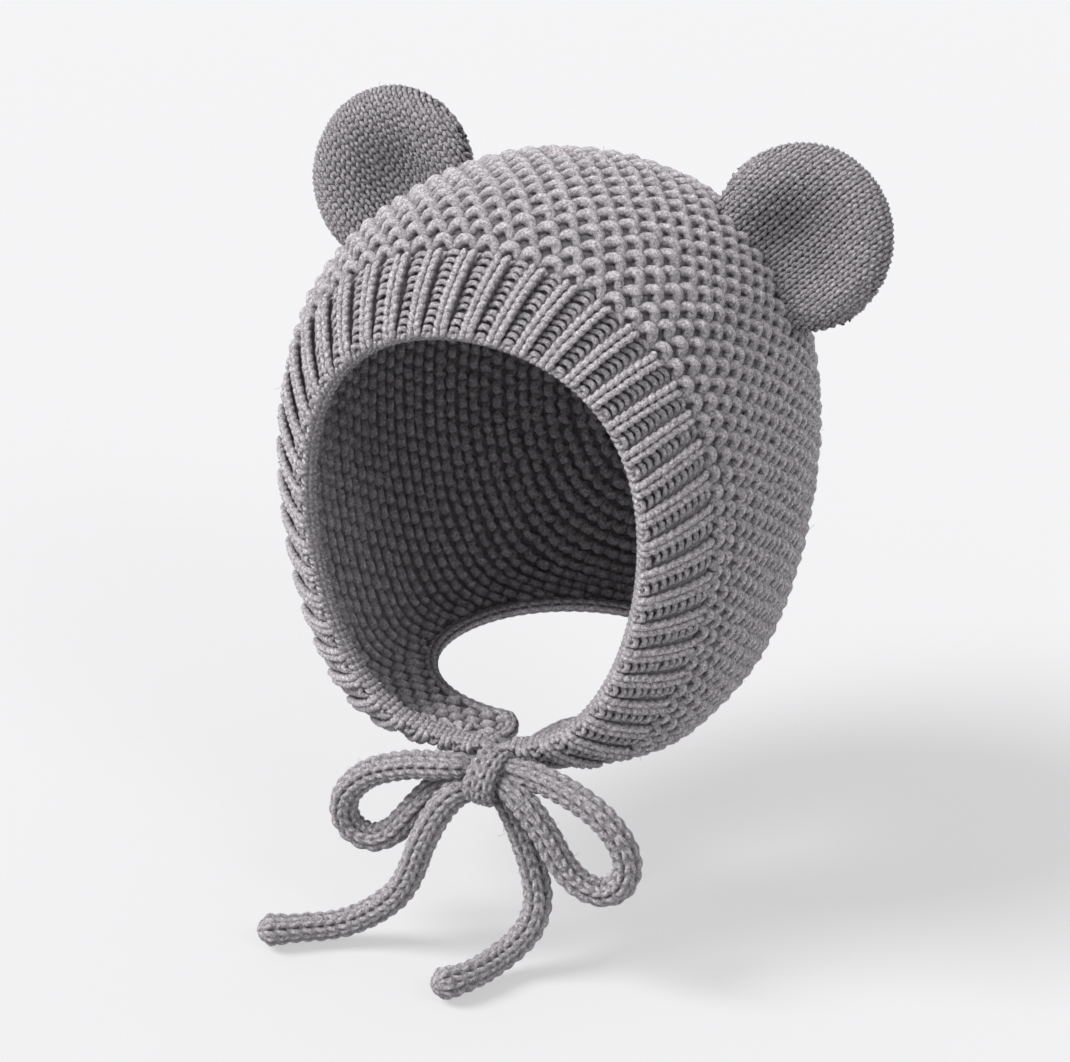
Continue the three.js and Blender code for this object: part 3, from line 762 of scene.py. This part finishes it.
def row_lines(first_row, last_row, outside, steps):
    """Wavy lines of rows, and where they are cut away; outside they are finer down the sides."""
    lines = []
    waves = None
    for row in range(first_row, last_row):
        share = (row + 0.5) / ROWS
        wanted = wave_counts(share)[-1]
        if waves is None or abs(waves / wanted - 1) > 0.09:
            waves = max(4, round(wanted))
            counts = wave_counts(share)
            places = counts / counts[-1]
        count = waves * steps
        phase = np.arange(count) * 2 * np.pi / steps + (row % 2) * np.pi
        turn = np.interp(np.arange(count) / count, places, ring_turns)
        swing = np.cos(phase) - ARC_FLATNESS * np.cos(2 * phase)
        swing = WAVE_SWING * swing * (1 + SWING_UNEVENNESS * soft_noise(count, waves))
        swing = swing + ROW_UNEVENNESS * soft_noise(count, max(4, waves // 2))
        turn = turn + WAVE_UNEVENNESS * soft_noise(count, waves) * 2 * np.pi / (waves * WAVE_LENGTH)
        if share > 0.96:
            swing = swing * 0.6
        place, normal, back = head_frame(turn, row_station(turn, np.full(count, share)))
        flank = 1 - np.clip(np.cos(turn) / FLANK_TOP, 0, 1) if outside else 0
        lift = WAVE_LIFT * (1 - FLANK_CALM * flank) * np.cos(phase) - 0.3 + 0.08 * soft_noise(count, waves)
        # Painted shade: each row is lighter at its wave crests and darker in its hollows.
        light = 0.8 + 0.2 * np.cos(phase)
        sunk = YARN_RADIUS - 0.35 - lift
        if outside:
            line = place + back * swing[:, None] - normal * sunk[:, None]
        else:
            line = place - back * swing[:, None] - normal * (BODY_WALL - sunk)[:, None]
        radius = YARN_RADIUS * (1 + 0.07 * soft_noise(count, waves * 2) + 0.06 * np.cos(phase))
        radius = radius * (1 - FLANK_THINNING * flank)
        gone = open_below(line, NECK_EDGE_MARGIN)
        lines.append((line, normal if outside else -normal, radius, light, gone))
    return lines


def yarn_rows(rows, sides):
    """Round yarn along the rows: closed rings, or runs with closed ends at the neck."""
    parts = []
    for line, normal, radius, light, gone in rows:
        count = len(line)
        if not gone.any():
            tangents = unit(np.roll(line, -1, 0) - np.roll(line, 1, 0))
            ring, ring_painted_shade = yarn_ring(tangents, normal, sides)
            points = line[:, None] + radius[:, None, None] * ring
            points = points + rng.normal(0, YARN_ROUGHNESS, points.shape)
            shade = light[:, None] * ring_painted_shade
            parts.append((points.reshape(-1, 3), ring_faces(count, sides, closed=True), shade.ravel()))
            continue
        start = np.flatnonzero(gone)[-1] + 1
        order = (np.arange(count) + start) % count
        kept = ~gone[order]
        edges = np.flatnonzero(np.diff(np.concatenate([[0], kept.astype(int), [0]])))
        for a, b in zip(edges[::2], edges[1::2]):
            if b - a > 4:
                run = order[a:b]
                parts.append(tubes(line[run][None], normal[run][None], radius[run][None], sides, light[run]))
    return join_parts(parts)


def body_core():
    """The thin closed shell inside the wall, which shuts the light out between rows."""
    turns = np.linspace(-np.pi, np.pi, CORE_SIDES, endpoint=False)
    shares = np.linspace(0.004, 0.985, CORE_RINGS)
    rings = [head_frame(turns, row_station(turns, np.full(CORE_SIDES, share))) for share in shares]
    outer = [place - normal * CORE_DEPTH for place, normal, _ in rings]
    inner = [place - normal * (CORE_DEPTH + CORE_WALL) for place, normal, _ in rings]
    points = np.stack([*inner[::-1], *outer], 0)
    closed = np.vstack([points.reshape(-1, 3), points[0].mean(0), points[-1].mean(0)])
    return closed, ring_faces(len(points), CORE_SIDES), np.ones(len(closed))


def cut_neck(shell):
    """Cuts the neck's oval and the parting out of a shell, and leaves its edges closed."""
    middle_z = HEAD_MIDDLE_Z - UNDERSIDE_DROP
    bpy.ops.mesh.primitive_cylinder_add(
        vertices=64, radius=1, depth=CUTTER_HEIGHT * MM,
        location=(0, NECK_MIDDLE_Y * MM, middle_z * MM),
    )
    oval = bpy.context.object
    oval.scale = ((NECK_HALF_WIDTH + CUTTER_MARGIN) * MM, (NECK_HALF_DEPTH + CUTTER_MARGIN) * MM, 1)
    bpy.ops.mesh.primitive_cube_add(
        size=1, location=(CHIN_MEET_X * MM, (NECK_MIDDLE_Y - FRONT_DEPTH) / 2 * MM, middle_z * MM),
    )
    parting = bpy.context.object
    parting_width = CHIN_GAP + 2 * CUTTER_MARGIN
    parting.scale = (parting_width * MM, (FRONT_DEPTH + NECK_MIDDLE_Y) * MM, CUTTER_HEIGHT * MM)
    for cutter in (oval, parting):
        cut = shell.modifiers.new("cut", "BOOLEAN")
        cut.operation = "DIFFERENCE"
        cut.solver = "EXACT"
        cut.object = cutter
    depsgraph = bpy.context.evaluated_depsgraph_get()
    cut_mesh = bpy.data.meshes.new_from_object(shell.evaluated_get(depsgraph))
    shell.modifiers.clear()
    shell.data = cut_mesh
    for cutter in (oval, parting):
        bpy.data.objects.remove(cutter)


body_wool = wool("body_wool", deepest=0.06)
# The shell under the rows is coloured near black: painted shade for the pits between the rows.
pit_painted_shade = wool("pit_painted_shade", light=(0.16, 0.15, 0.157), dark=(0.07, 0.064, 0.068))
core = make_mesh("body_core", *body_core())
cut_neck(core)
core.data.materials.clear()
core.data.materials.append(pit_painted_shade)
front_rows = ROWS // 2
front_lines = row_lines(0, front_rows, True, WAVE_STEPS)
outer_front = make_mesh("body_rows_front", *yarn_rows(front_lines, YARN_SIDES))
back_lines = row_lines(front_rows, ROWS, True, WAVE_STEPS)
outer_back = make_mesh("body_rows_back", *yarn_rows(back_lines, YARN_SIDES))
inner_rows = make_mesh("body_rows_inside", *yarn_rows(row_lines(0, ROWS, False, 5), 5))
for piece in (outer_front, outer_back, inner_rows):
    piece.data.materials.append(body_wool)
for piece in (core, outer_front, outer_back, inner_rows):
    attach(piece, "root")
    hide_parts("body")

# Neck edge
# The edge of the neck opening and of the parting behind the knot is finished with a
# narrow rolled cord of the same wool, worked on after the shell.
EDGE_RADIUS = 2.0
EDGE_FRONT_Y = -45
EDGE_STEP = 0.7
EDGE_SIDES = 30


def neck_edge_line():
    """From the band's left chin end, round the neck, to its right chin end."""
    left_x, right_x = CHIN_MEET_X - CHIN_GAP / 2, CHIN_MEET_X + CHIN_GAP / 2
    z = HEAD_MIDDLE_Z - UNDERSIDE_DROP + BODY_WALL / 2
    start = math.asin(left_x / NECK_HALF_WIDTH)
    stop = math.asin(right_x / NECK_HALF_WIDTH)
    swept = np.linspace(-start, 2 * math.pi - stop, 60)
    oval_x = -NECK_HALF_WIDTH * np.sin(swept)
    oval_y = NECK_MIDDLE_Y - NECK_HALF_DEPTH * np.cos(swept)
    oval = [(x, y, z) for x, y in zip(oval_x, oval_y)]
    left_side, right_side = (
        [(x, EDGE_FRONT_Y, z + 1.6), (x, EDGE_FRONT_Y + 7, z + 0.4), (x, EDGE_FRONT_Y + 13, z)]
        for x in (left_x, right_x)
    )
    return [*left_side, *oval[1:-1], *right_side[::-1]]


edge_line, edge_along = smooth_route(neck_edge_line(), EDGE_STEP)
edge_radius = np.full(len(edge_line), EDGE_RADIUS)
edge_parts = cord_stretch(edge_line, edge_along, 0, edge_along[-1], edge_radius, EDGE_SIDES)
neck_edge = make_mesh("neck_edge", *edge_parts[:3])
neck_edge.data.materials.append(body_wool)
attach(neck_edge, "root")

# Ears
# Each ear is two knitted discs in stocking stitch, filled, dished in front and sewn down
# along its foot. Its columns run from the foot to the rim.
EAR_RADIUS = 24
EAR_THICKNESS = 17
EAR_MIDDLE = (58.7, 25.5, 72.5)
EAR_SPLAY = math.radians(46)
EAR_LEAN_BACK = math.radians(12)
EAR_TOE_IN = math.radians(12)
EAR_DISH_DEPTH = 9.5
EAR_DISH_RADIUS = 9.5
EAR_DISH_DROP = 3
EAR_COLUMN = 2.5
EAR_ROW = 2.1
EAR_LEG_RADIUS = 0.64
EAR_EDGE_FULLNESS = 2.6
EAR_FILLING_SIDES = 48
EAR_DISH_SHADE = 0.4
EAR_CORE_DEPTH = 1.5
EAR_FOOT_DEPTH = 2.2
WALL_TURNS, WALL_SHARES = np.meshgrid(np.linspace(-1.6, 1.6, 161), np.linspace(0, 0.9, 61))


def inside_head(points, margin):
    """True where a point lies inside the head form, sunk by a margin, above its flat underside."""
    depth = np.where(points[..., 1] > 0, BACK_DEPTH, FRONT_DEPTH)
    fullness = np.where(points[..., 1] > 0, BACK_FULLNESS, FRONT_FULLNESS)
    ring = np.sqrt(np.clip(1 - (np.abs(points[..., 1]) / depth) ** fullness, 0, 1))
    x, z = points[..., 0], points[..., 2] - HEAD_MIDDLE_Z
    turn = np.arctan2(x, z)
    for _ in range(6):
        turn = np.arctan2(x / (HEAD_HALF_WIDTH * widening(np.cos(turn))), z / CROWN_RISE)
    half_width = HEAD_HALF_WIDTH * widening(np.cos(turn))
    limit = np.hypot(half_width * np.sin(turn), CROWN_RISE * np.cos(turn)) * ring
    return np.hypot(x, z) < limit - margin


def ear_axes(side):
    """An ear's middle, and its directions across, outward from its foot and forward."""
    outward = np.array([
        side * math.sin(EAR_SPLAY) * math.cos(EAR_LEAN_BACK), math.sin(EAR_LEAN_BACK),
        math.cos(EAR_SPLAY) * math.cos(EAR_LEAN_BACK),
    ])
    front = np.array([-side * math.sin(EAR_TOE_IN), -math.cos(EAR_TOE_IN), 0])
    front = unit(front - outward * front.dot(outward))
    middle = np.array([side * EAR_MIDDLE[0], EAR_MIDDLE[1], EAR_MIDDLE[2] + HEAD_MIDDLE_Z])
    return middle, np.cross(outward, front), outward, front


def ear_dish(sideways, upward):
    """How deep the ear's front is pushed in, deepest a little toward the foot."""
    spread = (sideways / EAR_DISH_RADIUS) ** 2 + ((upward + EAR_DISH_DROP) / (1.25 * EAR_DISH_RADIUS)) ** 2
    return EAR_DISH_DEPTH * np.exp(-spread / 2)


def ear_section(sideways, angle):
    """Upward reach and height in front of the disc, round one upright section of an ear."""
    half = np.sqrt(np.clip(EAR_RADIUS ** 2 - sideways ** 2, 0, None))
    upward = half * np.sin(angle)
    reach = np.clip(np.hypot(sideways, upward) / EAR_RADIUS, 0, 1)
    puff = EAR_THICKNESS / 2 * np.sqrt(np.clip(1 - reach ** EAR_EDGE_FULLNESS, 0, 1))
    dish = ear_dish(sideways, upward)
    facing = np.cos(angle) > 0
    return upward, np.where(facing, puff - dish * np.clip(np.cos(angle) * 8, 0, 1), -puff)


def ear_points(side, sideways, angle, sunk):
    """Points of an ear's outside, sunk by a depth along its surface normal."""
    middle, across, outward, front = ear_axes(side)

    def bare(s, a):
        upward, height = ear_section(s, a)
        return s[..., None] * across + upward[..., None] * outward + height[..., None] * front

    step = 0.02
    s_low = np.clip(sideways - 0.2, -EAR_RADIUS, EAR_RADIUS)
    s_high = np.clip(sideways + 0.2, -EAR_RADIUS, EAR_RADIUS)
    upward = bare(sideways, angle + step) - bare(sideways, angle - step)
    normal = unit(np.cross(bare(s_high, angle) - bare(s_low, angle), upward))
    return middle + bare(sideways, angle) - normal * sunk[..., None], normal


def held_in_wall(points):
    """Draws what would come through the shell back into its wall: the ear's sewn foot."""
    place, normal, _ = head_frame(WALL_TURNS, row_station(WALL_TURNS, WALL_SHARES))
    place, normal = place.reshape(-1, 3), normal.reshape(-1, 3)
    tree = KDTree(len(place))
    for index, at in enumerate(place):
        tree.insert(at, index)
    tree.balance()
    nearest = np.array([tree.find(at)[1] for at in points])
    depth = ((place[nearest] - points) * normal[nearest]).sum(1)
    return points + normal[nearest] * np.clip(depth - EAR_FOOT_DEPTH, 0, None)[:, None]


def ear_stitches(side):
    """The legs of an ear's V stitches, all round it, up to where it meets the shell."""
    profile = np.linspace(-1, 1, 801) * EAR_RADIUS * 0.9995
    fall = (np.abs(profile) / EAR_RADIUS) ** EAR_EDGE_FULLNESS
    height = EAR_THICKNESS / 2 * np.sqrt(np.clip(1 - fall, 0, 1))
    along = np.cumsum([0, *np.hypot(np.diff(profile), np.diff(height))])
    columns = round(along[-1] / EAR_COLUMN)
    middles = (np.arange(columns) + 0.5) * along[-1] / columns
    legs = []
    shares = np.linspace(0, 1, 5)
    for middle in middles:
        sideways = np.interp(middle, along, profile)
        angles = np.linspace(-np.pi / 2, 1.5 * np.pi, 721)
        upward, height = ear_section(np.full(721, sideways), angles)
        section = np.cumsum([0, *np.hypot(np.diff(upward), np.diff(height))])
        rows = max(4, round(section[-1] / EAR_ROW))
        for row in range(rows):
            start = row * section[-1] / rows
            for hand in (-1, 1):
                climb = start + (shares * 1.55 - 0.3) * EAR_ROW
                drift = middle + hand * (0.26 + 0.62 * shares) * EAR_COLUMN * 0.46
                legs.append((
                    np.interp(np.clip(drift, 0, along[-1]), along, profile),
                    np.interp(climb % section[-1], section, angles),
                    1.25 - 1.15 * np.sin(np.pi * shares) ** 0.8 + rng.normal(0, 0.05),
                ))
    sideways, angle, sunk = (np.array([leg[k] for leg in legs]) for k in range(3))
    lines, normals = ear_points(side, sideways, angle, sunk)
    keep = ~inside_head(lines.mean(1), 1.2)
    lines, normals = lines[keep], normals[keep]
    radius = EAR_LEG_RADIUS * capsule(shares)[None] * rng.uniform(0.93, 1.07, (len(lines), 1))
    # Painted shade: each leg is lighter at its middle, and the legs in the dish are darker, as the hollow is
    # in shade.
    upward, _ = ear_section(sideways[keep], angle[keep])
    dish_painted_shade = np.where(np.cos(angle[keep]) > 0, ear_dish(sideways[keep], upward) / EAR_DISH_DEPTH, 0)
    light = (0.3 + 0.6 * np.sin(np.pi * shares)[None]) * (1 - EAR_DISH_SHADE * dish_painted_shade)
    return tubes(lines, normals, radius, 5, light)


def ear_filling(side):
    """The closed puffed form under an ear's stitches."""
    rings = []
    angles = np.linspace(0, 2 * np.pi, EAR_FILLING_SIDES, endpoint=False)
    reaches = [0.03, 0.12, 0.2, 0.28, 0.36, 0.45, 0.55, 0.7, 0.85, 0.94, 0.985]
    middle, across, outward, front = ear_axes(side)
    radius_in = EAR_RADIUS - EAR_CORE_DEPTH
    for face, order in ((-1, reaches), (1, reaches[::-1])):
        for reach in order:
            s, u = radius_in * reach * np.cos(angles), radius_in * reach * np.sin(angles)
            puff = (EAR_THICKNESS / 2 - EAR_CORE_DEPTH) * math.sqrt(1 - reach ** EAR_EDGE_FULLNESS)
            h = -puff + 0 * s if face < 0 else puff - ear_dish(s, u)
            rings.append(middle + s[:, None] * across + u[:, None] * outward + h[:, None] * front)
    points = np.stack(rings)
    points = np.vstack([points.reshape(-1, 3), points[0].mean(0), points[-1].mean(0)])
    # The filling gets the darkest painted shade, as it shows only deep between the stitches.
    return held_in_wall(points), ring_faces(len(rings), EAR_FILLING_SIDES), np.zeros(len(points))


def make_ear(name, side, material):
    ear = make_mesh(name + "_knit", *join_parts([ear_stitches(side), ear_filling(side)]))
    ear.data.materials.append(material)
    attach(ear, "root")
    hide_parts(name)
    return ear


# The ears' wool is a darker copy of the body's wool: painted shade, as the ears turn away from the main
# light.
ear_shaded_wool = wool("ear_shaded_wool", light=(0.73, 0.692, 0.72), dark=(0.2, 0.183, 0.196), deepest=0.1)
ears = [make_ear("ear_left", -1, ear_shaded_wool), make_ear("ear_right", 1, ear_shaded_wool)]

# Loose fibres
# Short hairs of the same wool, as spun yarn has: they stand off the outer stitches of
# the shell, the band, the ears and the ties, mostly on the crests.
FIBRES = 4500
FIBRE_RADIUS = 0.04
FIBRE_LENGTHS = (0.6, 1.7)


def fibre_roots(piece):
    """Points and normals on the outer sides of a piece's stitches, in millimetres."""
    count = len(piece.data.vertices)
    places, normals, shade = np.empty(count * 3), np.empty(count * 3), np.empty(count)
    piece.data.vertices.foreach_get("co", places)
    piece.data.vertex_normals.foreach_get("vector", normals)
    piece.data.attributes["shade"].data.foreach_get("value", shade)
    top = shade > 0.75
    return places.reshape(-1, 3)[top] / MM, normals.reshape(-1, 3)[top]


hairy = [outer_front, outer_back, band, knot] + ties + ears
roots = [fibre_roots(piece) for piece in hairy]
root_places, root_normals = (np.vstack([root[k] for root in roots]) for k in range(2))
picked = rng.choice(len(root_places), FIBRES, replace=False)
root_places, root_normals = root_places[picked], root_normals[picked]
lean = unit(root_normals + rng.normal(0, 0.75, root_places.shape))
bend = rng.normal(0, 0.35, root_places.shape)
length = rng.uniform(*FIBRE_LENGTHS, (FIBRES, 1))
fibre_lines = np.stack([
    root_places - 0.15 * root_normals,
    root_places + length * (0.5 * lean + 0.25 * bend),
    root_places + length * (lean + bend),
], 1)
fibre_normals = np.broadcast_to(np.cross(lean, unit(bend))[:, None], fibre_lines.shape)
fibre_radius = np.full((FIBRES, 3), FIBRE_RADIUS)
fibres = make_mesh("loose_fibres", *tubes(fibre_lines, fibre_normals, fibre_radius, 3))
fibres.data.materials.append(body_wool)
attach(fibres, "root")

# Floor and light
# A pale seamless floor that curves up behind. The main light is soft and comes from the
# upper left, and a weak one from the right brings out the rows on the side.
FLOOR_Z = -0.1932
FLOOR_HALF_WIDTH = 20
FLOOR_FRONT = -3
SWEEP_START = 1.2
SWEEP_RADIUS = 0.8
SWEEP_HEIGHT = 4
KEY_FROM = (-0.85, -0.55, 1.05)
KEY_STRENGTH = 5.0
KEY_SPREAD = math.radians(30)
FILL_FROM = (0.9, -0.5, 0.75)
FILL_STRENGTH = 0.6
FILL_SPREAD = math.radians(20)

sweep = np.linspace(0.1, math.pi / 2, 12)
curve = [(SWEEP_START + SWEEP_RADIUS * math.sin(a), SWEEP_RADIUS * (1 - math.cos(a))) for a in sweep]
floor_profile = [(FLOOR_FRONT, 0), (SWEEP_START, 0), *curve, (SWEEP_START + SWEEP_RADIUS, SWEEP_HEIGHT)]
floor_mesh = bpy.data.meshes.new("floor")
floor_points = [(x, y, z + FLOOR_Z) for y, z in floor_profile
                for x in (-FLOOR_HALF_WIDTH, FLOOR_HALF_WIDTH)]
floor_faces = [(2 * i, 2 * i + 1, 2 * i + 3, 2 * i + 2) for i in range(len(floor_profile) - 1)]
floor_mesh.from_pydata(floor_points, [], floor_faces)
floor_mesh.polygons.foreach_set("use_smooth", [True] * len(floor_faces))
floor = bpy.data.objects.new("floor", floor_mesh)
scene.collection.objects.link(floor)
paper = bpy.data.materials.new("pale_paper")
paper.use_nodes = True
paper_shader = paper.node_tree.nodes["Principled BSDF"]
paper_shader.inputs["Base Color"].default_value = (0.19, 0.19, 0.192, 1)
paper_shader.inputs["Emission Color"].default_value = (0.99, 0.99, 1, 1)
paper_shader.inputs["Emission Strength"].default_value = 0.485
paper_shader.inputs["Roughness"].default_value = 0.9
floor_mesh.materials.append(paper)

world = bpy.data.worlds.new("studio")
scene.world = world
world.use_nodes = True
world.node_tree.nodes["Background"].inputs["Color"].default_value = (0.98, 0.985, 1, 1)
world.node_tree.nodes["Background"].inputs["Strength"].default_value = 0.71


def add_sun(name, comes_from, strength, spread):
    """A distant light from a direction, as soft as its spread is wide."""
    light = bpy.data.lights.new(name, "SUN")
    light.energy = strength
    light.angle = spread
    lamp = bpy.data.objects.new(name, light)
    lamp.rotation_mode = "QUATERNION"
    lamp.rotation_quaternion = Vector(comes_from).to_track_quat("Z", "Y")
    scene.collection.objects.link(lamp)


add_sun("key", KEY_FROM, KEY_STRENGTH, KEY_SPREAD)
add_sun("fill", FILL_FROM, FILL_STRENGTH, FILL_SPREAD)
scene.view_settings.view_transform = "Standard"
